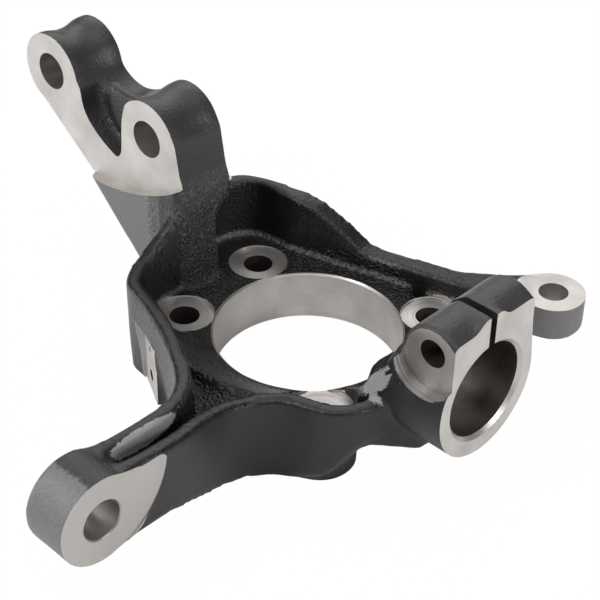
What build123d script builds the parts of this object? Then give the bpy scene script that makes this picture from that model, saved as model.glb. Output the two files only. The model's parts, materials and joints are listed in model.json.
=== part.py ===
from build123d import *
import math
import os

# One cast-iron steering knuckle, millimetres.
# Z is the hub axis and points inboard, X points from the hub to the ball-joint clamp,
# Y runs along the strut and pinch bolts. The origin is the bore centre on the outboard face.

# Overall size along X, Y and Z
part_length = 257.6
part_width = 256.2
part_height = 111.3

# Hub bearing seat
bore_radius = 40.0
hub_depth = 23.0
hub_outer_radius = 53.0
bore_chamfer = 0.6

# Hub bolts, by their angles round the bore. The near one sits in a wider spotface.
bolt_circle_radius = 53.5
bolt_angles = (158.6, 213.6, 55.8, 319.5)
bolt_hole_radius = 6.5
bolt_boss_radius = 14.5
spotface_radii = (13.0, 13.0, 13.0, 14.6)
spotface_sink = 0.8

# Strut bracket: two bored lobes with axes along Y, on a foot that is wider at the front
bracket_half_width = 13.0
strut_hole_radius = 8.4
lobe_radius = 17.3
lower_strut_x = -83.5
lower_strut_z = 85.5
upper_waist = 1.8
lower_waist = 1.0
foot_x = -120.4
foot_z = 53.0
pocket_depth = 10.0
ledge_width = 4.0

# Underside of the neck's foot
neck_foot_z = 15.0

# Tie-rod arm and its bored boss, axis along X
tie_rod_z = 34.3
tie_rod_face_x = 36.0
tie_rod_boss_length = 21.0
tie_rod_boss_radius = 18.4
tie_rod_hole_radius = 8.2
arm_root_y = -70.0

# Ball-joint clamp, bore along X, split at its top and closed by a pinch bolt along Y
clamp_face_x = 93.8
clamp_back_x = 69.0
clamp_z = 44.5
clamp_bore_radius = 20.4
clamp_bore_depth = 28.0
clamp_relief = 1.6
clamp_chamfer = 1.5
clamp_outer_radius = 27.4
clamp_outer_z = 43.4
slit_width = 3.6
slit_ridge_width = 16.0
pinch_x = 83.6
pinch_hole_z = 68.9
pinch_hole_radius = 5.8
pinch_boss_z = 65.9
pinch_boss_radius = 14.0
near_cheek_width = 22.0
far_cheek_width = 25.0
pinch_seat_z = 65.6
pinch_seat_radius = 13.8
pinch_seat_depth = 5.0

# Caliper ear, hole along Z
ear_x = 64.6
ear_y = 83.2
ear_top = 33.0
ear_thickness = 16.0
ear_radius = 13.6
ear_hole_radius = 6.4

# Walls of the casting
left_wall_thickness = 6.2
left_wall_draft = 4.5
rim_thickness = 6.0
rim_height = 38.0
cast_rounding = 1.5
hole_chamfer = 0.5

# Sensor pad on the outer side of the left wall
pad_x = -27.0
pad_y = -61.3
pad_angle = 151.5
pad_length = 20.6
pad_height = 29.0
pad_screw_radius = 2.6
pad_pin_radius = 1.3


def polar(radius, angle):
    return (radius * math.cos(math.radians(angle)), radius * math.sin(math.radians(angle)))


bolt_centres = [polar(bolt_circle_radius, angle) for angle in bolt_angles]

# The far ends of the part follow from its overall size
upper_strut_x = clamp_face_x - part_length + lobe_radius
upper_strut_z = part_height - lobe_radius
tie_rod_y = ear_y + ear_radius - part_width + tie_rod_boss_radius
bracket_middle_x = (upper_strut_x + lower_strut_x) / 2
bracket_middle_z = (upper_strut_z + lower_strut_z) / 2


def along_arm(share):
    """Y of a point on the tie-rod arm: 0 at its root, 1 at the bore's axis."""
    return arm_root_y + share * (tie_rod_y - arm_root_y)


def by_upper(x, z):
    return (upper_strut_x + x, 0, upper_strut_z + z)


def by_lower(x, z):
    return (lower_strut_x + x, 0, lower_strut_z + z)


def by_middle(x, z):
    return (bracket_middle_x + x, 0, bracket_middle_z + z)


def side_slab(points, y_low, y_high):
    """A profile drawn in X and Z, carried along Y."""
    face = make_face(Polyline(*[(x, 0, z) for x, z in points], close=True))
    return Pos(0, y_low, 0) * extrude(face, amount=y_high - y_low, dir=(0, 1, 0))


def end_slab(points, x_low, x_high):
    """A profile drawn in Y and Z, carried along X."""
    face = make_face(Polyline(*[(0, y, z) for y, z in points], close=True))
    return Pos(x_low, 0, 0) * extrude(face, amount=x_high - x_low, dir=(1, 0, 0))


def rod_x(radius, x_low, x_high, y, z):
    return Pos((x_low + x_high) / 2, y, z) * Rot(0, 90, 0) * Cylinder(radius, x_high - x_low)


def rod_y(radius, y_low, y_high, x, z):
    return Pos(x, (y_low + y_high) / 2, z) * Rot(90, 0, 0) * Cylinder(radius, y_high - y_low)


def rod_z(radius, z_low, z_high, x, y):
    return Pos(x, y, (z_low + z_high) / 2) * Cylinder(radius, z_high - z_low)


def boss(radius, length):
    """A turned boss on the XY plane: its cast end, at the bottom, is rounded."""
    r = cast_rounding
    corner = (radius - r * (1 - math.sqrt(0.5)), 0, r * (1 - math.sqrt(0.5)))
    foot = Line((0, 0, 0), (radius - r, 0, 0)) + ThreePointArc((radius - r, 0, 0), corner, (radius, 0, r))
    side = Polyline((radius, 0, r), (radius, 0, length), (0, 0, length), (0, 0, 0))
    return revolve(make_face(foot + side), Axis.Z, 360)


def flare(radius, chamfer):
    """A cutter that chamfers the mouth of a hole whose face lies on the XY plane, facing up."""
    return Pos(0, 0, chamfer) * Cone(radius, radius + 2 * chamfer, 2 * chamfer)


def hub_ring():
    ring = rod_z(hub_outer_radius, 0, hub_depth, 0, 0)
    for x, y in bolt_centres:
        ring += rod_z(bolt_boss_radius, 0, hub_depth, x, y)
    return ring


near_outline = [
    (tie_rod_face_x, tie_rod_y), (tie_rod_face_x, along_arm(0.59)), (33.5, along_arm(0.39)),
    (29.5, along_arm(0.17)), (28.5, arm_root_y - 1), (31.5, -60.5), (40, -52.5), (50, -49), (59, -43.5),
    (64, -35.5), (67, -27), (clamp_back_x + 7, -20),
]


def near_edge():
    """The outer edge of the arm and of the lip that runs from it to the clamp."""
    return Line(*near_outline[:2]) + Spline(*near_outline[1:], tangents=[(-0.1, 1), (1, 0)])


def near_plan():
    arm_back_x = tie_rod_face_x - tie_rod_boss_length
    closing = Polyline(near_outline[-1], (60, 0), (0, 0), (-40, -30), (-58, -46), (-42, -55), (-25, -60), (-5, -69),
                       (9, -78), (arm_back_x + 1, along_arm(0.28)), (arm_back_x, tie_rod_y), near_outline[0])
    return make_face(near_edge() + closing)


def under_side():
    """Everything above the outboard side of the arm, and above the rise beside the near bolt boss."""
    rise = tie_rod_z - 17.3
    arm = [(10, 0), (-62, 0)]
    for share, part in ((0, 0.01), (0.09, 0.15), (0.2, 0.31), (0.31, 0.52), (0.42, 0.74), (0.52, 0.9), (0.61, 1)):
        arm.append((along_arm(share), part * rise))
    arm += [(tie_rod_y, rise), (tie_rod_y, part_height), (10, part_height)]
    lip = [(-60, 0), (41, 0), (48, 3), (54, 5), (57.5, 10), (60, 15), (63.5, 20.5), (66, 22.5), (part_length, 22.5),
           (part_length, part_height), (-60, part_height)]
    return end_slab(arm, -part_length, part_length) & side_slab(lip, -part_width, 10)


def arm_floor():
    section = [(10, 0), (tie_rod_y, 0), (tie_rod_y, tie_rod_z + 7.7), (along_arm(0.68), tie_rod_z + 5.7),
               (along_arm(0.42), tie_rod_z - 0.3), (arm_root_y + 4, hub_depth), (10, hub_depth)]
    return extrude(near_plan(), amount=part_height) & end_slab(section, -part_length, part_length)


def near_rim():
    strip = trace(near_edge(), line_width=2 * rim_thickness)
    section = [(0, 0), (tie_rod_y, 0), (tie_rod_y, tie_rod_z + 16.7), (along_arm(0.59), tie_rod_z + 14.2),
               (along_arm(0.28), rim_height + 6), (along_arm(0.06), rim_height + 2), (-60, rim_height - 1),
               (-50, rim_height), (-24, rim_height), (-18, rim_height + 6), (0, rim_height + 6)]
    rim = extrude(strip, amount=part_height) & extrude(near_plan(), amount=part_height)
    return rim & end_slab(section, -part_length, part_length)


def near_band():
    """The sloping floor that rises from the bore's edge to the near lip."""
    inner = bore_radius + 1
    outer = bolt_circle_radius + 8.5
    profile = make_face(Polyline((inner - 11, 0, 0), (outer, 0, 0), (outer, 0, rim_height - 2), (inner, 0, hub_depth),
                                 (inner - 11, 0, hub_depth), close=True))
    return Rot(0, 0, -112) * revolve(profile, Axis.Z, 92)


# Centre line of the left wall, from the strut foot round to the tie-rod boss
left_line = [
    (-62, -8), (-62.3, -22), (-61, -36), (-55, -47.5), (-43, -52.5), (-30, -57), (-16, -63), (-2, -70.5),
    (10.5, -79.5), (17.5, along_arm(0.28)), (19.8, along_arm(0.45)), (20.2, along_arm(0.64)),
    (19.5, along_arm(0.94)),
]


def left_wall():
    strip = trace(Spline(*left_line), line_width=left_wall_thickness)
    rise = tie_rod_z - 17.3
    low = -bracket_half_width - ledge_width
    section = [(-4, 0), (-62, 0), (arm_root_y, 1), (along_arm(0.61), rise), (along_arm(0.98), rise),
               (along_arm(0.98), tie_rod_z + 15.7), (along_arm(0.7), tie_rod_z + 15), (along_arm(0.2), 48),
               (-58, 46.5), (-47, 45), (-36, 47.5), (-26, 53), (low, foot_z + 6.8), (-4, foot_z + 2)]
    return extrude(strip, amount=part_height) & end_slab(section, -part_length, part_length)


def beside(points, distances):
    """Each inner point of a line, moved to its right by its own distance."""
    moved = []
    for before, here, after, distance in zip(points, points[1:], points[2:], distances):
        along = (after[0] - before[0], after[1] - before[1])
        length = math.hypot(*along)
        moved.append((here[0] + along[1] / length * distance, here[1] - along[0] / length * distance))
    return moved


def left_draft():
    """A wedge outside the left wall: below its thick lip the wall leans in towards the hub."""
    half = left_wall_thickness / 2
    lean = (-1, 0.2, 0.15, 1, 1, 0.7, 0.1, -1)
    faces = []
    for z, share in ((-1, 1), (rim_height, 0)):
        reaches = [half + 1 - share * (1 + left_wall_draft * part) for part in lean]
        points = [(x, y, z) for x, y in beside(left_line[:10], reaches)]
        corners = [(points[-1][0], tie_rod_y, z), (-part_length / 2, tie_rod_y, z), (-part_length / 2, points[0][1], z)]
        outside = Polyline(points[-1], *corners, points[0])
        faces.append(make_face(Spline(*points) + outside))
    return loft(faces)


def sensor_pad():
    """A flat machined pad on the outer side of the left wall, with a screw hole and a pin hole."""
    place = Pos(pad_x, pad_y, 1) * Rot(0, 0, pad_angle)
    block = place * Pos(pad_length / 2, -5, pad_height / 2) * Box(pad_length, 10, pad_height)
    holes = place * rod_y(pad_screw_radius, -7, 5, pad_length * 0.5, pad_height * 0.3)
    holes += place * rod_y(pad_pin_radius, -7, 5, pad_length * 0.55, pad_height * 0.75)
    return block, holes


def tie_rod_boss():
    start = tie_rod_face_x - tie_rod_boss_length
    return Pos(start, tie_rod_y, tie_rod_z) * Rot(0, 90, 0) * boss(tie_rod_boss_radius, tie_rod_boss_length)


def far_wall():
    outer = [(-84, 8), (-80, 26), (-77, 34), (-70, 39), (-60, 42.5), (-45, 47.5), (26, 67.5),
             (ear_x - 21.6, ear_y - 2.2), (ear_x - 9.6, ear_y + 9.8)]
    inner = [(ear_x + 1.4, ear_y - 13.7), (ear_x - 16.6, ear_y - 17.2), (34, 60), (-44, 38.5), (-58, 37), (-67, 34.5),
             (-72, 28), (-74, 8)]
    outline = make_face(Spline(*outer[:5]) + Polyline(*outer[4:], *inner[:4]) + Spline(*inner[3:])
                        + Line(inner[-1], outer[0]))
    ear_bottom = ear_top - ear_thickness
    section = [(-part_length, 8), (-60, 0), (22, 0), (50, ear_bottom), (part_length, ear_bottom),
               (part_length, ear_top), (30, ear_top - 0.5), (-9, 32), (-15, 33), (-23, 39.3), (-37, 47.3), (-45, 49.5),
               (-60, 51), (-part_length, 53)]
    return extrude(outline, amount=part_height) & side_slab(section, 0, part_width)


def ear():
    return Pos(ear_x, ear_y, ear_top - ear_thickness) * boss(ear_radius, ear_thickness)


def lobe(x, z, waist):
    """A boss turned about the strut bolt's axis, with a shallow waist between its two faces."""
    half = bracket_half_width
    side = Line((lobe_radius, half - 4), (lobe_radius, half))
    arc = ThreePointArc((lobe_radius, 4 - half), (lobe_radius - waist, 0), (lobe_radius, half - 4))
    rest = Polyline((lobe_radius, half), (0, half), (0, -half), (lobe_radius, -half), (lobe_radius, 4 - half))
    return Pos(x, 0, z) * revolve(make_face(side + arc + rest), Axis.Y, 360)


def bracket():
    sole = Polyline(by_upper(-14.5, -10), by_upper(-10, -13.3), (foot_x, 0, foot_z), by_lower(21.5, -32.5),
                    by_lower(20.9, -15.5), by_lower(17.5, 4.5), by_lower(-10.5, 12.5))
    dip = Spline(by_lower(-10.5, 12.5), by_middle(12, 2.25), by_middle(1, -1.25), by_middle(-9, 1.25), by_upper(13.5, 9))
    body = make_face(sole + dip + Line(by_upper(13.5, 9), by_upper(-14.5, -10)))
    body = Pos(0, -bracket_half_width, 0) * extrude(body, amount=2 * bracket_half_width, dir=(0, 1, 0))
    body += lobe(upper_strut_x, upper_strut_z, upper_waist)
    body += lobe(lower_strut_x, lower_strut_z, lower_waist)
    left = Spline(by_middle(-15, 20.2), by_middle(-12, 3.2), by_middle(-9.8, -7.4), by_middle(-5, -13.2),
                  by_middle(6, -20))
    tip = Polyline(by_middle(6, -20), by_middle(11, -22.3), by_middle(13.6, -19.7))
    right = Spline(by_middle(13.6, -19.7), by_middle(14.8, -11.7), by_middle(15.3, -3.7), by_middle(17.5, 4.8),
                   by_middle(23, 20.2))
    pocket = make_face(left + tip + right + Line(by_middle(23, 20.2), by_middle(-15, 20.2)))
    body -= Pos(0, -bracket_half_width, 0) * extrude(pocket, amount=pocket_depth, dir=(0, 1, 0))
    return body


def strut_root():
    """The foot of the bracket: its front stands one ledge width proud and runs down to the hub."""
    ledge = ThreePointArc((foot_x + 1.4, 0, foot_z), by_lower(-7.5, -28.5), by_lower(21.5, -15.5))
    sides = Polyline(by_lower(21.5, -15.5), by_lower(24.5, -25.5), (-57, 0, 50), (-55.5, 0, hub_depth), (-50, 0, 8),
                     (-67, 0, 2), (foot_x + 1.4, 0, foot_z))
    low = -bracket_half_width - ledge_width
    body = Pos(0, low, 0) * extrude(make_face(ledge + sides), amount=bracket_half_width - low, dir=(0, 1, 0))
    back = [(low, 0), (2, 0), (2, foot_z - 3), (bracket_half_width, foot_z + 11), (bracket_half_width, part_height),
            (low, part_height)]
    return body & end_slab(back, -part_length, 0)


def pocket_floor():
    """The floor that closes both pockets between the ring, the strut foot and the two walls."""
    outline = make_face(Polyline((0, 0), (-56, -45), (-62, -36), (-65, -10), (-78, 4), (-78, 30), (-68, 38),
                                 (-45, 43), (0, 55), close=True))
    return extrude(outline, amount=hub_depth)


def clamp():
    """The split barrel with its two cheeks, the pinch bolt's boss and the low ridge beside the slit."""
    length = clamp_face_x - clamp_back_x
    barrel = Pos(clamp_back_x, 0, clamp_outer_z) * Rot(0, 90, 0) * boss(clamp_outer_radius, length)
    cheeks = [(-near_cheek_width, clamp_outer_z), (clamp_outer_radius, clamp_outer_z), (far_cheek_width, pinch_boss_z),
              (-near_cheek_width, pinch_boss_z)]
    barrel += end_slab(cheeks, clamp_back_x, clamp_face_x)
    barrel += rod_y(pinch_boss_radius, -near_cheek_width, far_cheek_width, pinch_x, pinch_boss_z)
    crown = pinch_boss_z + pinch_boss_radius
    half = slit_ridge_width / 2
    ridge = [(-half, pinch_boss_z), (-half, crown - 3), (3 - half, crown), (half - 3, crown), (half, crown - 3),
             (half, pinch_boss_z)]
    barrel += end_slab(ridge, pinch_x - 6, clamp_face_x)
    return barrel & end_slab([(-60, 0), (60, 0), (60, part_height), (-60, part_height)], 0, clamp_face_x)


def neck():
    """The web from the near lip and the ring up to the clamp, drawn at three stations along Y."""
    x = clamp_back_x
    z = clamp_z
    near_y = -near_cheek_width - pinch_seat_depth
    crest = [(41, 8), (62, 15.5), (x + 11, 17.5), (x + 11, z + 21.5), (x + 1, z + 21.5), (x - 5, z + 17.5),
             (x - 8.2, z + 13.3), (x - 13.1, z + 6.4), (x - 17.2, z), (47.9, 38.7), (46.6, 36.4), (45.2, 28.5),
             (43, hub_depth)]
    near = [(54, 30), (62, 35), (x + 9, z - 3), (x + 9, z + 17.5), (x + 1, z + 18.5), (x - 1.5, z + 15),
            (x - 4, z + 10), (x - 7, z + 4), (x - 10, z - 1), (57, rim_height + 1), (55.5, rim_height - 1),
            (54, rim_height - 3), (53.5, rim_height - 5)]
    far = [(px, pz if pz < hub_depth + 1 else pz - 3) for px, pz in crest]
    faces = []
    for y, points in ((near_y, near), (-12, crest), (20, far)):
        faces.append(make_face(Polyline(*[(px, y, pz) for px, pz in points], close=True)))
    foot = [(50, 10), (50, -26), (56, -33), (60, -31.6), (x + 8.7, -17.5), (x + 8.7, 10)]
    foot = Pos(0, 0, neck_foot_z) * extrude(make_face(Polyline(*foot, close=True)), amount=10)
    return loft(faces, ruled=True) + foot


def under_foot():
    """The open space below the neck's foot, beside the ring."""
    outline = [(51, 10), (51, -27), (56, -33), (58.5, -36.5), (61, -36.5), (62, -33), (90, -30), (90, 10)]
    return extrude(make_face(Polyline(*outline, close=True)), amount=neck_foot_z)


def cast_body():
    seat = ((arm_floor() + near_band()) & under_side()) - under_foot()
    seat += hub_ring() + pocket_floor()
    for (x, y), radius in zip(bolt_centres, spotface_radii):
        seat -= rod_z(radius, hub_depth - spotface_sink, 60, x, y)
    body = seat + (near_rim() & under_side()) + left_wall()
    body -= left_draft()
    pad, pad_holes = sensor_pad()
    for piece in (neck(), pad, tie_rod_boss(), far_wall(), ear(), bracket(), strut_root(), clamp()):
        body += piece
    return body - pad_holes


def machined(body):
    body -= rod_z(bore_radius, -1, part_height, 0, 0)
    body -= Pos(0, 0, hub_depth - bore_chamfer) * flare(bore_radius, bore_chamfer)
    for x, y in bolt_centres:
        body -= rod_z(bolt_hole_radius, -1, part_height / 2, x, y)
    for x, z in ((upper_strut_x, upper_strut_z), (lower_strut_x, lower_strut_z)):
        body -= rod_y(strut_hole_radius, -2 * bracket_half_width, 2 * bracket_half_width, x, z)
    body -= rod_x(tie_rod_hole_radius, 0, tie_rod_face_x + 1, tie_rod_y, tie_rod_z)
    body -= Pos(tie_rod_face_x - hole_chamfer, tie_rod_y, tie_rod_z) * Rot(0, 90, 0) * flare(
        tie_rod_hole_radius, hole_chamfer)
    bore_end_x = clamp_face_x - clamp_bore_depth
    body -= rod_x(clamp_bore_radius, bore_end_x, clamp_face_x + 1, 0, clamp_z)
    body -= rod_x(clamp_bore_radius + clamp_relief, 50, bore_end_x, 0, clamp_z)
    body -= Pos(clamp_face_x - clamp_chamfer, 0, clamp_z) * Rot(0, 90, 0) * flare(clamp_bore_radius, clamp_chamfer)
    half_slit = slit_width / 2
    slit = [(-half_slit, clamp_z), (half_slit, clamp_z), (half_slit, part_height), (-half_slit, part_height)]
    body -= end_slab(slit, clamp_back_x - 9, clamp_face_x + 1)
    body -= rod_y(pinch_hole_radius, -part_width / 4, part_width / 4, pinch_x, pinch_hole_z)
    body -= rod_y(pinch_seat_radius, -part_width / 4, -near_cheek_width, pinch_x, pinch_seat_z)
    return body - rod_z(ear_hole_radius, 0, ear_top + 1, ear_x, ear_y)


knuckle = machined(cast_body())
os.makedirs("parts", exist_ok=True)
export_step(knuckle, "parts/knuckle.step")
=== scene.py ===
import json
import math

import bmesh
import bpy
import numpy as np
from mathutils import Matrix, Vector, noise


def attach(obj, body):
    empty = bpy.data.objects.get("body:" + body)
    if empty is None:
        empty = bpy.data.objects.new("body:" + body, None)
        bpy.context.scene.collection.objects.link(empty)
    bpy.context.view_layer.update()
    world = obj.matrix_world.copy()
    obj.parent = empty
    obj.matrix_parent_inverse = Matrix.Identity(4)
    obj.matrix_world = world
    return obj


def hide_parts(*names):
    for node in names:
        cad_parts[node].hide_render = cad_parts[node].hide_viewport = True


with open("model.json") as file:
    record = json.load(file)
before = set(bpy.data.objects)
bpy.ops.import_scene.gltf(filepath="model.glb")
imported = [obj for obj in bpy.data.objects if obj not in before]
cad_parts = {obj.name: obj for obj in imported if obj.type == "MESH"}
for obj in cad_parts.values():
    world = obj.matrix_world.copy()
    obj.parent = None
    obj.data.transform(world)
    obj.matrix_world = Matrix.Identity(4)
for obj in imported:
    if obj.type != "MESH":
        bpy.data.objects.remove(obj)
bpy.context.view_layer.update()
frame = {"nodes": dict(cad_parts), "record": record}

mm = 0.001


def newPiece(name, points, faces):
    mesh = bpy.data.meshes.new(name)
    mesh.from_pydata([tuple(point) for point in points], [], faces)
    piece = bpy.data.objects.new(name, mesh)
    bpy.context.scene.collection.objects.link(piece)
    return piece


def discard(piece):
    mesh = piece.data
    bpy.data.objects.remove(piece)
    bpy.data.meshes.remove(mesh)


def bakeModifiers(piece):
    graph = bpy.context.evaluated_depsgraph_get()
    mesh = bpy.data.meshes.new_from_object(piece.evaluated_get(graph))
    old = piece.data
    piece.modifiers.clear()
    piece.data = mesh
    bpy.data.meshes.remove(old)


def outward(piece):
    shape = bmesh.new()
    shape.from_mesh(piece.data)
    bmesh.ops.recalc_face_normals(shape, faces=shape.faces)
    shape.to_mesh(piece.data)
    shape.free()


def cutAway(piece, name, shape, finish=None):
    points, faces = shape
    tool = newPiece(name, [Vector(point) * mm for point in points], faces)
    outward(tool)
    if finish:
        tool.data.materials.append(finish)
    cut = piece.modifiers.new(name, "BOOLEAN")
    cut.operation = "DIFFERENCE"
    cut.solver = "MANIFOLD"
    cut.material_mode = "TRANSFER"
    cut.object = tool
    bakeModifiers(piece)
    discard(tool)


# Closed shapes in millimetres, as (points, faces) pairs, for stock and for cutters

def turnedShape(rings, axis, place, steps=96):
    # rings are (radius, height) pairs along the axis
    across = {"x": (1, 2), "y": (2, 0), "z": (0, 1)}[axis]
    along = "xyz".index(axis)
    points = []
    for radius, height in rings:
        for step in range(steps):
            angle = 2 * math.pi * step / steps
            point = list(place)
            point[across[0]] += radius * math.cos(angle)
            point[across[1]] += radius * math.sin(angle)
            point[along] += height
            points.append(point)
    faces = [list(range(steps))[::-1], [(len(rings) - 1) * steps + step for step in range(steps)]]
    for ring in range(len(rings) - 1):
        for step in range(steps):
            after = (step + 1) % steps
            faces.append([ring * steps + step, ring * steps + after, (ring + 1) * steps + after,
                          (ring + 1) * steps + step])
    return points, faces


def rodShape(axis, radius, low, high, place, steps=96):
    return turnedShape([(radius, low), (radius, high)], axis, place, steps)


def prismShape(outline, axis, low, high):
    # outline is drawn in the two other directions, in their own order
    along = "xyz".index(axis)
    points = []
    for level in (low, high):
        for pair in outline:
            point = list(pair)
            point.insert(along, level)
            points.append(point)
    count = len(outline)
    faces = [list(range(count)), list(range(count, 2 * count))[::-1]]
    for step in range(count):
        after = (step + 1) % count
        faces.append([step, step + count, after + count, after])
    return points, faces


def blockShape(low, high):
    outline = [(low[0], low[1]), (high[0], low[1]), (high[0], high[1]), (low[0], high[1])]
    return prismShape(outline, "z", low[2], high[2])


def sheetShape(rows, push):
    # a sheet through rows of points, made solid by a copy of it that is moved by push
    wide, paintedDeepShade = len(rows[0]), len(rows)
    top = [tuple(point) for row in rows for point in row]
    points = top + [tuple(value + move for value, move in zip(point, push)) for point in top]
    count = len(top)
    faces = []
    for row in range(paintedDeepShade - 1):
        for column in range(wide - 1):
            corner = row * wide + column
            quad = [corner, corner + 1, corner + wide + 1, corner + wide]
            faces += [quad, [index + count for index in quad[::-1]]]
    border = list(range(wide)) + [row * wide + wide - 1 for row in range(1, paintedDeepShade)]
    border += [(paintedDeepShade - 1) * wide + column for column in range(wide - 2, -1, -1)]
    border += [row * wide for row in range(paintedDeepShade - 2, 0, -1)]
    for step, index in enumerate(border):
        after = border[(step + 1) % len(border)]
        faces.append([after, index, index + count, after + count])
    return points, faces


def turnedAbout(shape, angle, place):
    # the shape turned about Z and carried to a place
    points, faces = shape
    cosine, sine = math.cos(math.radians(angle)), math.sin(math.radians(angle))
    x, y, z = place
    turned = [(x + px * cosine - py * sine, y + px * sine + py * cosine, z + pz) for px, py, pz in points]
    return turned, faces


def polarRow(angle, spots):
    # points at one angle about the hub axis, from (radius, height) pairs
    turn = math.radians(angle)
    return [(radius * math.cos(turn), radius * math.sin(turn), height) for radius, height in spots]


def circlePoints(centre, radius, start, end, steps):
    angles = [math.radians(start + (end - start) * step / steps) for step in range(steps + 1)]
    return [(centre[0] + radius * math.cos(angle), centre[1] + radius * math.sin(angle)) for angle in angles]


def arcThrough(first, middle, last, steps):
    (ax, az), (bx, bz), (cx, cz) = first, middle, last
    a, b, c = ax**2 + az**2, bx**2 + bz**2, cx**2 + cz**2
    divisor = 2 * (ax * (bz - cz) + bx * (cz - az) + cx * (az - bz))
    x = (a * (bz - cz) + b * (cz - az) + c * (az - bz)) / divisor
    z = (a * (cx - bx) + b * (ax - cx) + c * (bx - ax)) / divisor
    radius = math.hypot(ax - x, az - z)
    start = math.degrees(math.atan2(az - z, ax - x))
    end = math.degrees(math.atan2(cz - z, cx - x))
    if end - start > 180:
        end -= 360
    if start - end > 180:
        end += 360
    return circlePoints((x, z), radius, start, end, steps)


# The seats that a machine has cut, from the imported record's own mounts
mounts = {mount["name"]: mount for mount in frame["record"]["mounts"]}
hubBolts = ("hub_bolt_1", "hub_bolt_2", "hub_bolt_3", "hub_bolt_4")
strutBolts = ("strut_bolt_upper", "strut_bolt_lower")
faceLevels = {"strut": 13, "tie": 36, "clamp": 93.8, "ear": 33}


def seatPlace(name):
    return [value / mm for value in mounts[name]["pos_m"]]


def seatRadius(name):
    return mounts[name]["dims"]["r_mm"]


casting = {
    "voxel": 1.15, "sameWay": 0.999, "planeSlack": 0.05,
    "skin": 0.18, "wobble": 0.045, "wobbleReach": 9, "wobbleOctaves": 2,
    "passes": 14, "valleyPull": 0.5, "ridgePull": 0.06,
    "evenPasses": 10, "evenPull": 0.5, "evenPush": -0.53, "softPasses": 4,
}
stock = 3.0  # how much thicker the seats are before they are machined
plugs = {  # rods that fill the bores: radius, from, to
    "hub": (40.3, -stock, 23), "hubSpot": (13.2, 1, 23), "hubBolt": (6.8, -stock, 22),
    "strutBolt": (8.8, -faceLevels["strut"] - stock, faceLevels["strut"] + stock),
    "tieBore": (8.8, 15.2, faceLevels["tie"]), "tieBoss": (18.5, 32, faceLevels["tie"] + stock),
    "clamp": (22.3, 65.4, faceLevels["clamp"] + stock),
    "pinchHole": (6.4, -24, 24.9), "pinchSlit": (14, -2.4, 2.4),
    "ear": (6.8, 17.2, faceLevels["ear"] + stock),
}
pinchSlitLevel = 65.9
slitHalf = 2.4
slitBlock = ((77.6, -slitHalf, 62), (faceLevels["clamp"], slitHalf, 79.9))
slitOutline = [(60.5, 45), (93.8, 45), (93.8, 66), (69.5, 65.8), (63.8, 61.8), (60.5, 57)]
ledge = {"arc": ((-119, 53), (-91, 57), (-62, 70)), "steps": 20, "front": -17, "back": -12}
pocketPanel = {  # the panel in the strut bracket's pocket
    "outline": [(-119, 96), (-117.5, 88), (-115, 80), (-106, 71), (-101.5, 70), (-100, 80), (-98.5, 90),
                (-100, 94)],
    "front": -5.6, "back": 0,
}
sensorPad = {"place": (-27, -61.3, 1), "angle": 151.5, "length": 20.6, "height": 29, "back": -2, "stock": 1.2}
rootFill = {  # the skin that runs from the near band into the trough: angle, then (radius, height)
    -64: ((58, 34), (63, 34.5), (69, 30)), -74: ((59, 34.8), (71, 30.5), (84, 25.2)),
    -81: ((59, 34.8), (69, 30), (80, 25.2)), -90: ((59, 34.5), (65, 30), (71, 27)),
    -102: ((58, 33.4), (62.5, 32), (66, 31)), -114: ((55, 31.2), (59.5, 31), (62, 31)),
    -128: ((50, 26), (54, 26.5), (57.5, 27)),
}
bandEnd = {-110: ((41, 22.7), (61, 35.1)), -124: ((41, 22.7), (59, 28.5)), -141: ((41, 22.7), (59, 22.7))}
fillDepth = {"root": 8, "band": 4.5}
neckFacet = {
    "side": (-0.621, -0.371, 0.691), "cover": 3.5, "cut": 14,
    "front": ((56.8, -27, 37.5), (65.8, -27.1, 45.5), (74.8, -27.2, 53.5)),
    "middle": ((50.6, -18.1, 36.7), (57, -18.5, 42.2), (65.5, -17.5, 50.4)),
    "back": ((47.8, -11, 37.8), (51.9, -6.2, 44.2), (57.5, -9.3, 47.6)),
    "overhang": (0.3, -1, -0.27), "past": 2,
}


def stockOver(mesh, normal, level):
    # prisms over every triangle that lies on one machined plane, from just inside the casting outwards
    normal = Vector(normal)
    points, faces = [], []
    for face in mesh.polygons:
        height = face.center.dot(normal) / mm
        if face.normal.dot(normal) < casting["sameWay"] or abs(height - level) > casting["planeSlack"]:
            continue
        corners = [mesh.vertices[index].co / mm for index in face.vertices]
        base, count = len(points), len(corners)
        points += [corner - normal for corner in corners]
        points += [corner + normal * stock for corner in corners]
        faces.append([base + step for step in range(count)][::-1])
        faces.append([base + count + step for step in range(count)])
        for step in range(count):
            after = (step + 1) % count
            faces.append([base + step, base + after, base + count + after, base + count + step])
    return points, faces


def facetSheet(front, push):
    side = neckFacet["side"]
    return sheetShape([front, neckFacet["middle"], neckFacet["back"]], [value * push for value in side])


def strutLedge():
    # the arc that the strut face's cutter leaves on the foot
    return arcThrough(*ledge["arc"], ledge["steps"])


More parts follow.
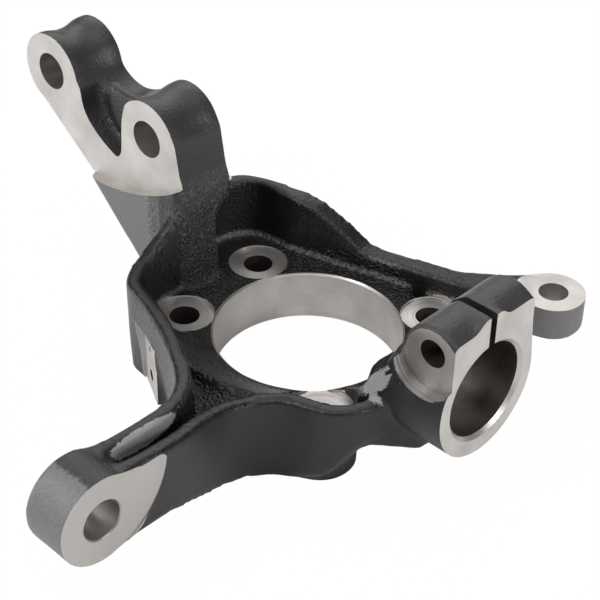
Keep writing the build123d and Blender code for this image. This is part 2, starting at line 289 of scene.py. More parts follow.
def stockShapes(mesh):
    # everything that is added to the CAD solid before machining
    shapes = [stockOver(mesh, (0, 0, -1), 0)]
    shapes += [stockOver(mesh, (0, side, 0), faceLevels["strut"]) for side in (-1, 1)]
    shapes.append(stockOver(mesh, (1, 0, 0), faceLevels["clamp"]))
    shapes.append(stockOver(mesh, (0, 0, 1), faceLevels["ear"]))
    shapes.append(rodShape("z", *plugs["hub"], (0, 0, 0)))
    for name in hubBolts:
        x, y, z = seatPlace(name)
        shapes += [rodShape("z", *plugs[plug], (x, y, 0)) for plug in ("hubSpot", "hubBolt")]
    for name in strutBolts:
        x, y, z = seatPlace(name)
        shapes.append(rodShape("y", *plugs["strutBolt"], (x, 0, z)))
    x, y, z = seatPlace("tie_rod_bore")
    shapes += [rodShape("x", *plugs[plug], (0, y, z)) for plug in ("tieBore", "tieBoss")]
    x, y, z = seatPlace("ball_joint_clamp")
    shapes.append(rodShape("x", *plugs["clamp"], (0, y, z)))
    x, y, z = seatPlace("pinch_bolt")
    shapes.append(rodShape("y", *plugs["pinchHole"], (x, 0, z)))
    shapes.append(rodShape("y", *plugs["pinchSlit"], (x, 0, pinchSlitLevel)))
    shapes.append(blockShape(*slitBlock))
    shapes.append(prismShape(slitOutline, "y", -slitHalf, slitHalf))
    arc = strutLedge()
    lifted = [(x, z + stock) for x, z in arc]
    shapes.append(prismShape(arc + lifted[::-1], "y", ledge["front"], ledge["back"]))
    shapes.append(prismShape(pocketPanel["outline"], "y", pocketPanel["front"], pocketPanel["back"]))
    for rows, depth in ((rootFill, fillDepth["root"]), (bandEnd, fillDepth["band"])):
        shapes.append(sheetShape([polarRow(angle, spots) for angle, spots in rows.items()], (0, 0, -depth)))
    shapes.append(facetSheet(neckFacet["front"], -neckFacet["cover"]))
    padCorner = (sensorPad["length"], sensorPad["stock"], sensorPad["height"])
    pad = blockShape((0, sensorPad["back"], 0), padCorner)
    shapes.append(turnedAbout(pad, sensorPad["angle"], sensorPad["place"]))
    x, y, z = seatPlace("ear_bore")
    shapes.append(rodShape("z", *plugs["ear"], (x, y, 0)))
    return shapes


def rawCasting(node):
    # the CAD solid before machining: bores filled, seats left thick, one even skin
    mesh = node.data
    solid = ([vertex.co / mm for vertex in mesh.vertices], [list(face.vertices) for face in mesh.polygons])
    points, faces = [], []
    for shapePoints, shapeFaces in [solid] + stockShapes(mesh):
        base = len(points)
        points += [Vector(point) * mm for point in shapePoints]
        faces += [[base + index for index in face] for face in shapeFaces]
    raw = newPiece("rawCasting", points, faces)
    remesh = raw.modifiers.new("castGrid", "REMESH")
    remesh.mode = "VOXEL"
    remesh.voxel_size = casting["voxel"] * mm
    bakeModifiers(raw)
    past, overhang = neckFacet["past"], neckFacet["overhang"]
    front = [[value + past * move for value, move in zip(point, overhang)] for point in neckFacet["front"]]
    cutAway(raw, "neckFacet", facetSheet(front, neckFacet["cut"]))
    return raw


def castRounding(piece):
    # valleys fill with wide fillets, ridges keep a tight round; the last passes even out the grid
    mesh = piece.data
    count = len(mesh.vertices)
    places = np.zeros(count * 3)
    mesh.vertices.foreach_get("co", places)
    places = places.reshape(-1, 3)
    ends = np.zeros(len(mesh.edges) * 2, int)
    mesh.edges.foreach_get("vertices", ends)
    ends = ends.reshape(-1, 2)
    links = np.bincount(ends.ravel(), minlength=count)[:, None]
    pulls = [(casting["valleyPull"], casting["ridgePull"])] * casting["passes"]
    pulls += [(casting["evenPull"],) * 2, (casting["evenPush"],) * 2] * casting["evenPasses"]
    pulls += [(casting["evenPull"],) * 2] * casting["softPasses"]
    for valleyPull, ridgePull in pulls:
        total = np.zeros_like(places)
        for axis in range(3):
            total[:, axis] = (np.bincount(ends[:, 0], places[ends[:, 1], axis], count)
                              + np.bincount(ends[:, 1], places[ends[:, 0], axis], count))
        pull = total / links - places
        mesh.vertices.foreach_set("co", places.ravel())
        mesh.update()
        normals = np.zeros(count * 3)
        mesh.vertices.foreach_get("normal", normals)
        valley = (pull * normals.reshape(-1, 3)).sum(1) > 0
        places = places + pull * np.where(valley, valleyPull, ridgePull)[:, None]
    mesh.vertices.foreach_set("co", places.ravel())
    mesh.update()


def vertexPlaces(mesh):
    places, normals = np.zeros(len(mesh.vertices) * 3), np.zeros(len(mesh.vertices) * 3)
    mesh.vertices.foreach_get("co", places)
    mesh.vertices.foreach_get("normal", normals)
    return places.reshape(-1, 3), normals.reshape(-1, 3)


def castSkin(piece):
    # the slow wobble of a sand-cast face, and the skin's own thickness
    mesh = piece.data
    places, normals = vertexPlaces(mesh)
    reach, octaves = casting["wobbleReach"], casting["wobbleOctaves"]
    wobble = np.array([noise.fractal(place, 1.0, 2.0, octaves) for place in places / mm / reach])
    places += normals * ((casting["skin"] + wobble * casting["wobble"]) * mm)[:, None]
    mesh.vertices.foreach_set("co", places.ravel())
    mesh.update()


machining = {  # in millimetres; a profile is (radius, height) pairs, and steps are added to a radius
    "roundSides": {"hub": 192, "tieFace": 160, "clamp": 160, "earFace": 128, "hole": 64},
    "hubBlock": ((-90, -80, -20), (95, 95, 0)), "boltReach": (-20, 60),
    "hubProfile": [(40, -30), (40, 22.4), (41.2, 23.6), (41.2, 60)],
    "spotRadius": 13.0, "nearSpotRadius": 14.6, "spotLevel": 22.2,
    "spotReach": {"hub_bolt_1": 26, "hub_bolt_2": 26, "hub_bolt_3": 30, "hub_bolt_4": 24.5},
    "spotSteps": [(-0.35, 0), (-0.3, 0.7), (0, 0.8), (0, 1.7), (0.3, 1.8)], "spotLip": (0.3, 2.2),
    "strutAbove": [(-180, 60), (-180, 130), (-45, 130), (-45, 72)],
    "strutBack": [(-180, 60), (-180, 130), (-55, 130), (-55, 64), (-95, 64), (-130, 50)],
    "strutClear": 60, "strutReach": (-40, 40),
    "tiePlace": (-145.3, 49.6), "tieRadius": 36.3, "tieSteps": [(-1.1, 36), (-1, 36.35), (0, 36.4), (0, 60)],
    "tieProfile": [(8.2, 0), (8.2, 35.5), (9.2, 36.5), (9.2, 50)],
    "clampBlock": ((93.8, -60, 0), (120, 60, 120)), "clampReach": (60, 120),
    "clampProfile": [(20.2, 92.1), (23.4, 95.3), (23.4, 120)],
    "slit": 3.6, "slitFrom": (60, 44), "slitTo": (100, 105),
    "pinchLevel": 65.6, "pinchReach": (-60, 60),
    "pinchProfile": [(15.9, -60), (15.9, -27.4), (15.4, -27.2), (15.3, -26.2), (14.8, -26), (14.7, -24.9),
                     (14.2, -24.7), (13.8, -22)],
    "earRadius": 17.3, "earTop": 60,
    "padScrew": {"radius": 2.6, "along": 0.5, "up": 0.3, "sides": 40},
    "padPin": {"radius": 1.3, "along": 0.55, "up": 0.75, "sides": 32},
    "padReach": (-7, 5), "padMargin": 1, "padClear": 9,
}
smoothAngle = 38


def pinchSeatPlace():
    return (seatPlace("pinch_bolt")[0], 0, machining["pinchLevel"])


def boltHole(name, axis, place, reach):
    return rodShape(axis, seatRadius(name), *reach, place, machining["roundSides"]["hole"])


def hubCuts():
    sides = machining["roundSides"]["hub"]
    cuts = [("hubFace", blockShape(*machining["hubBlock"]), "milled"),
            ("hubBore", turnedShape(machining["hubProfile"], "z", (0, 0, 0), sides), "hubBored")]
    low = machining["spotLevel"]
    for name in hubBolts:
        x, y, z = seatPlace(name)
        radius = machining["nearSpotRadius"] if name == "hub_bolt_4" else machining["spotRadius"]
        steps = [(radius + wider, low + higher) for wider, higher in machining["spotSteps"]]
        wider, higher = machining["spotLip"]
        steps.append((radius + wider, max(machining["spotReach"][name], low + higher)))
        cuts.append((name + "Spot", turnedShape(steps, "z", (x, y, 0)), name))
        cuts.append((name + "Hole", boltHole(name, "z", (x, y, 0), machining["boltReach"]), "drilled"))
    return cuts


def strutCuts():
    half, clear = faceLevels["strut"], machining["strutClear"]
    front = machining["strutAbove"] + strutLedge()[::-1]
    cuts = [("strutFront", prismShape(front, "y", -clear, -half), "milled"),
            ("strutBack", prismShape(machining["strutBack"], "y", half, clear), "milled")]
    for name in strutBolts:
        x, y, z = seatPlace(name)
        hole = rodShape("y", seatRadius(name), *machining["strutReach"], (x, 0, z))
        cuts.append((name + "Hole", hole, "bored"))
    return cuts


def tieRodCuts():
    x, y, z = seatPlace("tie_rod_bore")
    steps = [(machining["tieRadius"] + wider, level) for wider, level in machining["tieSteps"]]
    face = turnedShape(steps, "x", (0, *machining["tiePlace"]), machining["roundSides"]["tieFace"])
    return [("tieFace", face, "tieFaced"),
            ("tieBore", turnedShape(machining["tieProfile"], "x", (0, y, z)), "bored")]


def clampCuts():
    x, y, z = seatPlace("ball_joint_clamp")
    radius, sides = seatRadius("ball_joint_clamp"), machining["roundSides"]["clamp"]
    half = machining["slit"] / 2
    (lowX, lowZ), (highX, highZ) = machining["slitFrom"], machining["slitTo"]
    cuts = [("clampFace", blockShape(*machining["clampBlock"]), "milled"),
            ("clampMouth", turnedShape(machining["clampProfile"], "x", (0, y, z), sides), "milled"),
            ("clampBore", rodShape("x", radius, *machining["clampReach"], (0, y, z), sides), "clampBored"),
            ("clampSlit", blockShape((lowX, -half, lowZ), (highX, half, highZ)), "sawn"),
            ("pinchSeat", turnedShape(machining["pinchProfile"], "y", pinchSeatPlace()), "pinchFaced")]
    x, y, z = seatPlace("pinch_bolt")
    cuts.append(("pinchHole", boltHole("pinch_bolt", "y", (x, 0, z), machining["pinchReach"]), "drilled"))
    return cuts


def earCuts():
    x, y, z = seatPlace("ear_bore")
    top, sides = machining["earTop"], machining["roundSides"]["earFace"]
    face = rodShape("z", machining["earRadius"], faceLevels["ear"], top, (x, y, 0), sides)
    return [("earFace", face, "milled"),
            ("earHole", boltHole("ear_bore", "z", (x, y, 0), (0, top)), "bored")]


def padCuts():
    long, tall, margin = sensorPad["length"], sensorPad["height"], machining["padMargin"]
    face = blockShape((-margin, 0, -margin), (long + margin, machining["padClear"], tall + margin))
    cuts = [("padFace", face, "milled")]
    for name in ("padScrew", "padPin"):
        hole = machining[name]
        place = (long * hole["along"], 0, tall * hole["up"])
        rod = rodShape("y", hole["radius"], *machining["padReach"], place, hole["sides"])
        cuts.append((name, rod, "sawn"))
    return [(name, turnedAbout(shape, sensorPad["angle"], sensorPad["place"]), finish)
            for name, shape, finish in cuts]


def machineSeats(piece, finishes):
    # every cut is (name, shape, finish)
    for name, shape, finish in hubCuts() + strutCuts() + tieRodCuts() + clampCuts() + earCuts() + padCuts():
        cutAway(piece, name, shape, finishes[finish])
    piece.data.set_sharp_from_angle(angle=math.radians(smoothAngle))


# Finishes

def newMaterial(name):
    material = bpy.data.materials.new(name)
    material.use_nodes = True
    material.node_tree.nodes.clear()
    tree = material.node_tree
    shader = tree.nodes.new("ShaderNodeBsdfPrincipled")
    output = tree.nodes.new("ShaderNodeOutputMaterial")
    tree.links.new(shader.outputs[0], output.inputs[0])
    return material, tree, shader


def noiseNode(tree, scale, detail, source):
    grain = tree.nodes.new("ShaderNodeTexNoise")
    grain.inputs["Scale"].default_value = scale
    grain.inputs["Detail"].default_value = detail
    tree.links.new(source, grain.inputs["Vector"])
    return grain.outputs["Fac"]


def spread(tree, source, low, high, fromLow=0.0, fromHigh=1.0):
    ranged = tree.nodes.new("ShaderNodeMapRange")
    ranged.inputs["From Min"].default_value = fromLow
    ranged.inputs["From Max"].default_value = fromHigh
    ranged.inputs["To Min"].default_value = low
    ranged.inputs["To Max"].default_value = high
    tree.links.new(source, ranged.inputs["Value"])
    return ranged.outputs[0]


def mathNode(tree, operation, first, second):
    node = tree.nodes.new("ShaderNodeMath")
    node.operation = operation
    for index, value in enumerate((first, second)):
        if isinstance(value, (int, float)):
            node.inputs[index].default_value = value
        else:
            tree.links.new(value, node.inputs[index])
    return node.outputs[0]


def vertexShare(tree, name):
    share = tree.nodes.new("ShaderNodeAttribute")
    share.attribute_name = name
    return share.outputs["Fac"]


def colourMix(tree, share, first, second):
    mix = tree.nodes.new("ShaderNodeMix")
    mix.data_type = "RGBA"
    tree.links.new(share, mix.inputs["Factor"])
    for socket, value in ((mix.inputs[6], first), (mix.inputs[7], second)):
        if isinstance(value, tuple):
            socket.default_value = value
        else:
            tree.links.new(value, socket)
    return mix.outputs[2]


def bumpNode(tree, height, strength, distance, under=None):
    bump = tree.nodes.new("ShaderNodeBump")
    bump.inputs["Distance"].default_value = distance
    if isinstance(strength, (int, float)):
        bump.inputs["Strength"].default_value = strength
    else:
        tree.links.new(strength, bump.inputs["Strength"])
    tree.links.new(height, bump.inputs["Height"])
    if under is not None:
        tree.links.new(under, bump.inputs["Normal"])
    return bump.outputs[0]


paint = {
    # the smooth tone is lighter than the black: a painted sheen on the smooth skin
    "black": (0.0045, 0.0045, 0.005, 1), "smoothSheenTone": (0.0095, 0.0092, 0.0095, 1),
    "patch": (0.20, 0.20, 0.195, 1),
    "ironAndGlintLow": (0.135, 0.132, 0.132, 1), "ironAndGlintHigh": (0.185, 0.181, 0.181, 1),
    "grain": 700, "fine": 1700, "detail": 2, "specular": 0.4,
    "fleckGrain": 0.35, "fleckRange": (0.62, 0.8), "leastBare": 0.4,
    "patchGrain": 0.5, "patchRange": (0.7, 0.78), "ironRange": (0.35, 0.65), "bareMetallic": 0.5,
    "fineSheen": (-0.05, 0.05), "skinSheen": (0.42, 0.2), "bareSheen": 0.2,
    "coarseDepth": 0.0032, "fineDepth": 0.0003, "fineStrength": (0.04, 0.3),
}


def castPaint():
    # black paint over the cast skin; where it has worn or been ground off, the grey iron shows,
    # and the same grey is laid on as painted glints, sheen and highlights on the column, bracket, clamp tops
    # and fillets
    material, tree, shader = newMaterial("blackCastPaint")
    place = tree.nodes.new("ShaderNodeTexCoord").outputs["Object"]
    grain = noiseNode(tree, paint["grain"], paint["detail"], place)
    fine = noiseNode(tree, paint["fine"], paint["detail"], place)
    rough, bareAndHighlight, patch = (vertexShare(tree, name) for name in ("roughCast", "bareIronAndHighlight", "wornPatch"))
    # flecks: grey where the share and the grain are high; on the column they are painted glints
    fleckGrain = mathNode(tree, "MULTIPLY", grain, paint["fleckGrain"])
    flecksAndGlints = spread(tree, mathNode(tree, "ADD", bareAndHighlight, fleckGrain), 0, 1, *paint["fleckRange"])
    bareAndHighlightEdge = mathNode(tree, "MAXIMUM", flecksAndGlints, mathNode(tree, "MULTIPLY", bareAndHighlight, paint["leastBare"]))
    patchGrain = mathNode(tree, "MULTIPLY", grain, paint["patchGrain"])
    patchEdge = spread(tree, mathNode(tree, "ADD", patch, patchGrain), 0, 1, *paint["patchRange"])
    ironAndGlintTone = colourMix(tree, spread(tree, fine, 0, 1, *paint["ironRange"]), paint["ironAndGlintLow"], paint["ironAndGlintHigh"])
    # rough skin is black, smooth skin takes the lighter painted-sheen tone, and the grey goes over both
    painted = colourMix(tree, bareAndHighlightEdge, colourMix(tree, rough, paint["smoothSheenTone"], paint["black"]), ironAndGlintTone)
    tree.links.new(colourMix(tree, patchEdge, painted, paint["patch"]), shader.inputs["Base Color"])
    tree.links.new(mathNode(tree, "MULTIPLY", bareAndHighlightEdge, paint["bareMetallic"]), shader.inputs["Metallic"])
    shader.inputs["Specular IOR Level"].default_value = paint["specular"]
    sheen = mathNode(tree, "ADD", spread(tree, fine, *paint["fineSheen"]),
                     spread(tree, rough, *paint["skinSheen"]))
    bareSheen = mathNode(tree, "MULTIPLY", bareAndHighlightEdge, paint["bareSheen"])
    tree.links.new(mathNode(tree, "ADD", sheen, bareSheen), shader.inputs["Roughness"])
    coarse = bumpNode(tree, grain, rough, paint["coarseDepth"])
    fineStrength = spread(tree, rough, *paint["fineStrength"])
    tree.links.new(bumpNode(tree, fine, fineStrength, paint["fineDepth"], coarse), shader.inputs["Normal"])
    return material


metal = {
    "colour": (0.51, 0.487, 0.467, 1), "shade": (0.40, 0.378, 0.36, 1), "line": (0.27, 0.25, 0.24, 1),
    # the last two tones darken the walls of holes, the clamp bore and the slit: painted shade inside them
    "dull": (0.27, 0.25, 0.235, 1), "paintedHoleShade": (0.13, 0.112, 0.104, 1), "paintedDeepShade": (0.055, 0.046, 0.043, 1),
    "metallic": 0.85, "grain": 1600, "grainDetail": 2, "grainStrength": 0.15, "grainSheen": 0.07,
    "cloud": 70, "cloudDetail": 4, "cloudRange": (0.32, 0.68), "bumpDepth": 0.0002,
    "lineScale": 2300, "lineDetail": 2, "lineRange": (0.62, 0.35), "brightFrom": 0.35,
}


def cutMetal(name, colour, shade, roughness, marks=None):
    # marks is (mask, centre in mm, depth): the mask picks the directions that the tool's lines are measured
    # in, so two of them give rings about the third, and one gives lines across itself
    material, tree, shader = newMaterial(name)
    shader.inputs["Metallic"].default_value = metal["metallic"]
    place = tree.nodes.new("ShaderNodeTexCoord").outputs["Object"]
    grain = noiseNode(tree, metal["grain"], metal["grainDetail"], place)
    cloud = noiseNode(tree, metal["cloud"], metal["cloudDetail"], place)
    tone = colourMix(tree, spread(tree, cloud, 0, 1, *metal["cloudRange"]), shade, colour)
    bumped = bumpNode(tree, grain, metal["grainStrength"], metal["bumpDepth"])
    if marks:
        mask, centre, depth = marks
        shift = tree.nodes.new("ShaderNodeMapping")
        shift.inputs["Location"].default_value = [-value * mm * keep for value, keep in zip(centre, mask)]
        shift.inputs["Scale"].default_value = mask
        tree.links.new(place, shift.inputs["Vector"])
        away = tree.nodes.new("ShaderNodeVectorMath")
        away.operation = "LENGTH"
        tree.links.new(shift.outputs[0], away.inputs[0])
        lines = tree.nodes.new("ShaderNodeTexNoise")
        lines.noise_dimensions = "1D"
        lines.inputs["Scale"].default_value = metal["lineScale"]
        lines.inputs["Detail"].default_value = metal["lineDetail"]
        tree.links.new(away.outputs["Value"], lines.inputs["W"])
        share = spread(tree, lines.outputs["Fac"], 0, depth, *metal["lineRange"])
        lineTone = metal["line"] if colour[0] > metal["brightFrom"] else metal["paintedDeepShade"]
        tone = colourMix(tree, share, tone, lineTone)
        bumped = bumpNode(tree, lines.outputs["Fac"], depth, metal["bumpDepth"], bumped)
    tree.links.new(tone, shader.inputs["Base Color"])
    sheen = metal["grainSheen"]
    tree.links.new(spread(tree, grain, roughness - sheen, roughness + sheen), shader.inputs["Roughness"])
    tree.links.new(bumped, shader.inputs["Normal"])
    return material


def cutFinishes():
    bright, shade, dull, paintedHoleShade, paintedDeepShade = (metal[name] for name in ("colour", "shade", "dull", "paintedHoleShade", "paintedDeepShade"))
    finishes = {
        "milled": cutMetal("milledFace", bright, shade, 0.42),
        "hubBored": cutMetal("hubBoreWall", bright, shade, 0.4, ((0, 0, 1), (0, 0, 0), 0.4)),
        "tieFaced": cutMetal("tieRodFace", shade, shade, 0.42,
                             ((0, 1, 1), (0, *machining["tiePlace"]), 0.15)),
        "pinchFaced": cutMetal("pinchSeatFace", shade, dull, 0.4, ((1, 0, 1), pinchSeatPlace(), 0.25)),
        "bored": cutMetal("boredWall", shade, dull, 0.42),
        # bore, hole and slit walls in the two darkest tones: painted shade inside them
        "clampBored": cutMetal("clampWall", paintedHoleShade, paintedDeepShade, 0.5, ((1, 0, 0), (0, 0, 0), 0.4)),
        "drilled": cutMetal("drilledWall", paintedHoleShade, paintedDeepShade, 0.5),
        "sawn": cutMetal("sawnSlit", paintedDeepShade, paintedDeepShade, 0.6),
    }
    for name in hubBolts:
        finishes[name] = cutMetal(name + "Face", bright, shade, 0.38, ((1, 1, 0), seatPlace(name), 0.7))
    return finishes


regions = {  # places in millimetres, directions as parts of the normal, then the region's shares
    "plain": {"rough": 0.3},
    "pocket": {"radius": 64, "inner": 52, "z": (15, 31), "up": 0.2, "rough": 0.8},
    "trough": {"x": (-30, 30), "front": -52, "above": 20, "up": -0.2, "rough": 0.55},
    # the column's grey share places painted glints, thinning out upwards
    "column": {"x": (-80, -52), "y": (-19, 14), "inward": 0.3, "rough": (78, -22, 0.15, 1),
               "bareAndHighlight": 0.47, "glintFade": (84, -16, 0.6, 1)},
    "underside": {"below": 24, "up": -0.5, "rough": 0.6},
    "tops": {"above": 36, "up": 0.75, "rough": 0.16},
    "rims": {"above": 78, "across": 0.5, "rough": 0.12},
    "nearWall": {"up": 0.6, "right": 0.3, "front": -0.45, "y": -18, "x": 26},
    "leftWall": {"up": 0.75, "left": -0.25, "front": -0.6, "x": -25, "y": -8, "z": 47, "slant": (0.5, -36),
                 "bareAndHighlight": 0.85},
    "boss": {"y": -141, "z": 34.3, "radius": (16.8, 20.5), "x": 12, "bareAndHighlight": 1.15, "fadeY": (-150, 16),
             "fadeZ": (46, 9), "shareZ": 0.45, "rough": 0.12},
    "ear": {"x": 64.6, "y": 83.2, "radius": 15, "bareAndHighlight": 0.9},
    # the bracket's share is a thin grey that paints a sheen on its upper faces
    "bracket": {"z": 66, "x": -60, "rough": 0.5, "bareAndHighlight": 0.29},
    "clampTop": {"x": 66, "z": 68, "up": 0.2, "bareAndHighlight": 0.41},
    # the fillets' share paints a highlight along their rounded edges
    "filletHighlight": {"z": (22.5, 32), "up": (0.3, 0.92), "farWall": (12, -0.25), "foot": (-57, 0.3), "bareAndHighlight": 0.52},
    "foot": {"front": -0.7, "y": -14, "z": (20, 72), "x": -72, "fade": (-84, 5), "bareAndHighlight": 1.3, "share": 0.75,
             "most": 0.95, "rough": (0.1, 0.8)},
}
wornPlaces = (  # centre and reach in millimetres, and how far up a worn face has to look
    ((61, -21.5, 41), (12.5, 9, 7), 0.25),
    ((23, -110, 46), (2.5, 18, 4.5), -1),
    ((-36, -40.5, 23), (4.5, 2.5, 3), -1),
)
wornShare = {"from": 1.5, "most": 0.66, "smooths": 1.6, "smoothest": 0.9}


def within(values, low, high):
    return (values > low) & (values < high)


def fade(values, start, length, low=0, high=1):
    return np.clip((values - start) / length, low, high)


def castRegions(piece):
    # how rough the cast skin is, where it is bare, where the same grey is laid on as painted glints, sheen
    # and highlights, and where the paint is worn, one share each for every vertex
    mesh = piece.data
    places, normals = vertexPlaces(mesh)
    count = len(mesh.vertices)
    x, y, z = places.T / mm
    nx, ny, nz = normals.T
    rough, bareAndHighlight, worn = np.full(count, regions["plain"]["rough"]), np.zeros(count), np.zeros(count)

    pocket, trough, column = regions["pocket"], regions["trough"], regions["column"]
    hubDistance = np.hypot(x, y)
    inPocket = (hubDistance < pocket["radius"]) & within(z, *pocket["z"])
    inPocket &= (nz > pocket["up"]) | (hubDistance < pocket["inner"])
    onColumn = within(x, *column["x"]) & (nx > column["inward"]) & within(y, *column["y"])
    inTrough = within(x, *trough["x"]) & (y < trough["front"]) & (z > trough["above"]) & (nz > trough["up"])
    rough[inPocket] = pocket["rough"]
    rough[inTrough] = trough["rough"]
    rough[onColumn] = fade(z[onColumn], *column["rough"])
    below = regions["underside"]
    rough[(z < below["below"]) & (nz < below["up"])] = below["rough"]

    near, left = regions["nearWall"], regions["leftWall"]
    nearWall = (np.abs(nz) < near["up"]) & ((nx > near["right"]) | (ny < near["front"]))
    nearWall &= (y < near["y"]) & (x > near["x"])
    slope, limit = left["slant"]
    leftWall = (np.abs(nz) < left["up"]) & ((nx < left["left"]) | (ny < left["front"]))
    leftWall &= (x < left["x"]) & (z < left["z"]) & (y < left["y"]) & (x - y * slope < limit)
    # smooth upward tops, rims and walls also take the lighter painted-sheen tone
    tops, rims = regions["tops"], regions["rims"]
    rough[(nz > tops["up"]) & (z > tops["above"])] = tops["rough"]
    rough[(z > rims["above"]) & (np.abs(ny) < rims["across"])] = rims["rough"]
    rough[nearWall | leftWall] = 0.0

    boss, ear = regions["boss"], regions["ear"]
    onBoss = within(np.hypot(y - boss["y"], z - boss["z"]), *boss["radius"]) & (x > boss["x"])
    bossBare = boss["bareAndHighlight"] - fade(y[onBoss], *boss["fadeY"])
    bossBare -= fade(z[onBoss], *boss["fadeZ"]) * boss["shareZ"]
    bareAndHighlight[onBoss] = np.clip(bossBare, 0, 1)
    onEar = np.hypot(x - ear["x"], y - ear["y"]) < ear["radius"]
    bareAndHighlight[onEar] = ear["bareAndHighlight"]
    rough[onBoss | onEar] = boss["rough"]
    bareAndHighlight[leftWall] = left["bareAndHighlight"]

    bracket, clampTop, filletHighlight, foot = (regions[name] for name in ("bracket", "clampTop", "filletHighlight", "foot"))
    # a thin grey over the bracket's upper faces: a painted sheen
    bareAndHighlight[(z > bracket["z"]) & (x < bracket["x"]) & (rough < bracket["rough"])] = bracket["bareAndHighlight"]
    # grey over the clamp's upward faces: partly scuffed paint, partly a painted sheen
    bareAndHighlight[(x > clampTop["x"]) & (z > clampTop["z"]) & (nz > clampTop["up"])] = clampTop["bareAndHighlight"]
    # grey flecks over the column, thinning out upwards: painted glints where its cast bumps would catch the
    # lamps
    bareAndHighlight[onColumn] = column["bareAndHighlight"] * fade(z[onColumn], *column["glintFade"])
    # grey along the fillets of the far wall and the column's foot: a painted highlight on the rounded edges
    (farY, farWay), (footX, footWay) = filletHighlight["farWall"], filletHighlight["foot"]
    onFilletHighlight = within(z, *filletHighlight["z"]) & within(nz, *filletHighlight["up"])
    onFilletHighlight &= ((y > farY) & (ny < farWay)) | ((x < footX) & (nx > footWay))
    bareAndHighlight[onFilletHighlight] = filletHighlight["bareAndHighlight"]
    onFoot = (ny < foot["front"]) & (y < foot["y"]) & within(z, *foot["z"]) & (x < foot["x"])
    bareAndHighlight[onFoot] = np.clip(foot["bareAndHighlight"] - fade(x[onFoot], *foot["fade"]) * foot["share"], 0, foot["most"])
    rough[onFoot] = fade(x[onFoot], *foot["fade"], *foot["rough"])

    for centre, reach, lift in wornPlaces:
        away = np.sqrt(sum(((axis - middle) / wide)**2
                           for axis, middle, wide in zip((x, y, z), centre, reach)))
        patch = np.clip(wornShare["from"] - away, 0, wornShare["most"])
        worn = np.maximum(worn, np.where(nz > lift, patch, 0))
    rough *= 1 - np.clip(worn * wornShare["smooths"], 0, wornShare["smoothest"])
    for name, values in (("roughCast", rough), ("bareIronAndHighlight", bareAndHighlight), ("wornPatch", worn)):
        share = mesh.attributes.new(name, "FLOAT", "POINT")
        share.data.foreach_set("value", values)


knuckle = rawCasting(frame["nodes"]["knuckle"])
knuckle.name = "castKnuckle"
print("raw casting:", len(knuckle.data.polygons), "faces")
castRounding(knuckle)
castSkin(knuckle)
print("cast skin:", len(knuckle.data.vertices), "points")
knuckle.data.materials.clear()
knuckle.data.materials.append(castPaint())
finishes = cutFinishes()
knuckle.data.polygons.foreach_set("use_smooth", [True] * len(knuckle.data.polygons))
machineSeats(knuckle, finishes)
print("machined casting:", sum(len(face.vertices) - 2 for face in knuckle.data.polygons), "triangles")
castRegions(knuckle)
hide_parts("knuckle")
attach(knuckle, "root")
print("paint and wear: ready")

# Floor and world
studio = {
    "floorReach": 3, "floorLevel": -0.0004, "floorShade": 0.85, "floorRoughness": 0.9, "floorSeen": 0.985,
    "room": 0.4, "gloss": 0.08,
}
reach = studio["floorReach"]
floor = newPiece("floor", [(-reach, -reach, 0), (reach, -reach, 0), (reach, reach, 0), (-reach, reach, 0)],
                 [[0, 1, 2, 3]])
floor.location.z = studio["floorLevel"]
floorLook, tree, shader = newMaterial("paleFloor")
shader.inputs["Base Color"].default_value = (*[studio["floorShade"]] * 3, 1)
shader.inputs["Roughness"].default_value = studio["floorRoughness"]
shader.inputs["Specular IOR Level"].default_value = 0
glow = tree.nodes.new("ShaderNodeEmission")
glow.inputs["Strength"].default_value = 1.0
mix = tree.nodes.new("ShaderNodeMixShader")
path = tree.nodes.new("ShaderNodeLightPath")
seenShare = mathNode(tree, "MULTIPLY", path.outputs["Is Camera Ray"], studio["floorSeen"])
tree.links.new(seenShare, mix.inputs[0])
tree.links.new(shader.outputs[0], mix.inputs[1])
tree.links.new(glow.outputs[0], mix.inputs[2])
output = next(node for node in tree.nodes if node.type == "OUTPUT_MATERIAL")
tree.links.new(mix.outputs[0], output.inputs[0])
floor.data.materials.append(floorLook)

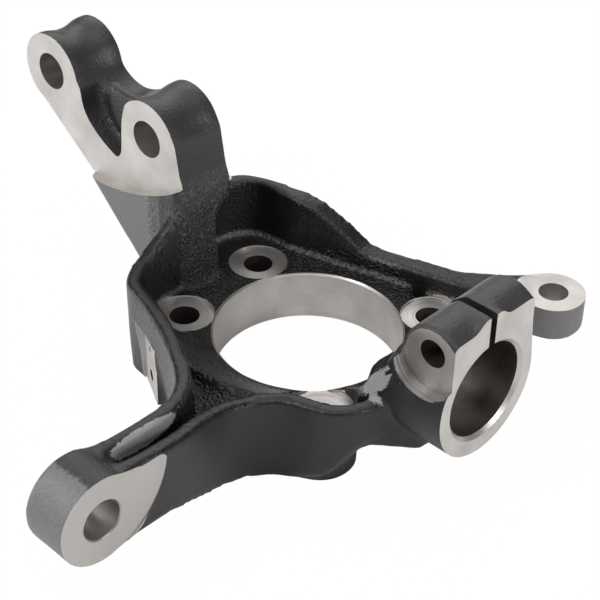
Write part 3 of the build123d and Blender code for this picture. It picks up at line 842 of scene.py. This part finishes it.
world = bpy.data.worlds.new("studio")
bpy.context.scene.world = world
world.use_nodes = True
tree = world.node_tree
tree.nodes.clear()
room = tree.nodes.new("ShaderNodeBackground")
room.inputs["Color"].default_value = (1, 1, 1, 1)
room.inputs["Strength"].default_value = studio["room"]
dim = tree.nodes.new("ShaderNodeBackground")
dim.inputs["Strength"].default_value = studio["gloss"]
dull = tree.nodes.new("ShaderNodeMixShader")
seen = tree.nodes.new("ShaderNodeBackground")
seen.inputs["Strength"].default_value = 1.0
mix = tree.nodes.new("ShaderNodeMixShader")
path = tree.nodes.new("ShaderNodeLightPath")
output = tree.nodes.new("ShaderNodeOutputWorld")
for source, socket in ((path.outputs["Is Camera Ray"], mix.inputs[0]),
                       (path.outputs["Is Glossy Ray"], dull.inputs[0]),
                       (room.outputs[0], dull.inputs[1]), (dim.outputs[0], dull.inputs[2]),
                       (dull.outputs[0], mix.inputs[1]), (seen.outputs[0], mix.inputs[2]),
                       (mix.outputs[0], output.inputs[0])):
    tree.links.new(source, socket)


def softbox(name, place, target, size, power):
    light = bpy.data.lights.new(name, "AREA")
    light.shape = "RECTANGLE"
    light.size, light.size_y = size
    light.energy = power
    lamp = bpy.data.objects.new(name, light)
    lamp.location = place
    lamp.rotation_mode = "QUATERNION"
    lamp.rotation_quaternion = (Vector(target) - Vector(place)).to_track_quat("-Z", "Y")
    bpy.context.scene.collection.objects.link(lamp)


softbox("backBox", (-0.75, 0.80, 0.90), (0, 0, 0.05), (1.3, 0.9), 8)
softbox("frontBox", (-0.30, -0.80, 0.85), (0, 0, 0.05), (0.32, 0.32), 6)
softbox("sideBox", (1.0, 0.15, 0.42), (0, 0, 0.05), (0.3, 0.3), 5)
softbox("leftBox", (-1.0, -0.75, 0.35), (0, 0, 0.05), (0.5, 0.9), 6)
softbox("skyBox", (0.1, -0.1, 1.3), (0, 0, 0), (1.1, 1.1), 8)
print("studio: ready")

# Camera, solved from the circles in the photograph
photoView = {"azimuth": 43.762, "elevation": 36.399, "roll": 0.831, "lens": 92.1,
             "place": (0.35228, -0.37297, 0.41635), "nearest": 0.01, "farthest": 20}


def photoCamera():
    azimuth, elevation, roll = (math.radians(photoView[name]) for name in ("azimuth", "elevation", "roll"))
    back = Vector((math.sin(azimuth) * math.cos(elevation), -math.cos(azimuth) * math.cos(elevation),
                   math.sin(elevation)))
    level = Vector((math.cos(azimuth), math.sin(azimuth), 0))
    upright = back.cross(level)
    side = level * math.cos(roll) + upright * math.sin(roll)
    up = upright * math.cos(roll) - level * math.sin(roll)
    camera = bpy.data.objects.new("photoCamera", bpy.data.cameras.new("photoCamera"))
    camera.data.lens = photoView["lens"]
    camera.data.clip_start = photoView["nearest"]
    camera.data.clip_end = photoView["farthest"]
    turn = Matrix((side, up, back)).transposed().to_4x4()
    camera.matrix_world = Matrix.Translation(photoView["place"]) @ turn
    bpy.context.scene.collection.objects.link(camera)
    bpy.context.scene.camera = camera


photoCamera()
bpy.context.scene.view_settings.view_transform = "Standard"
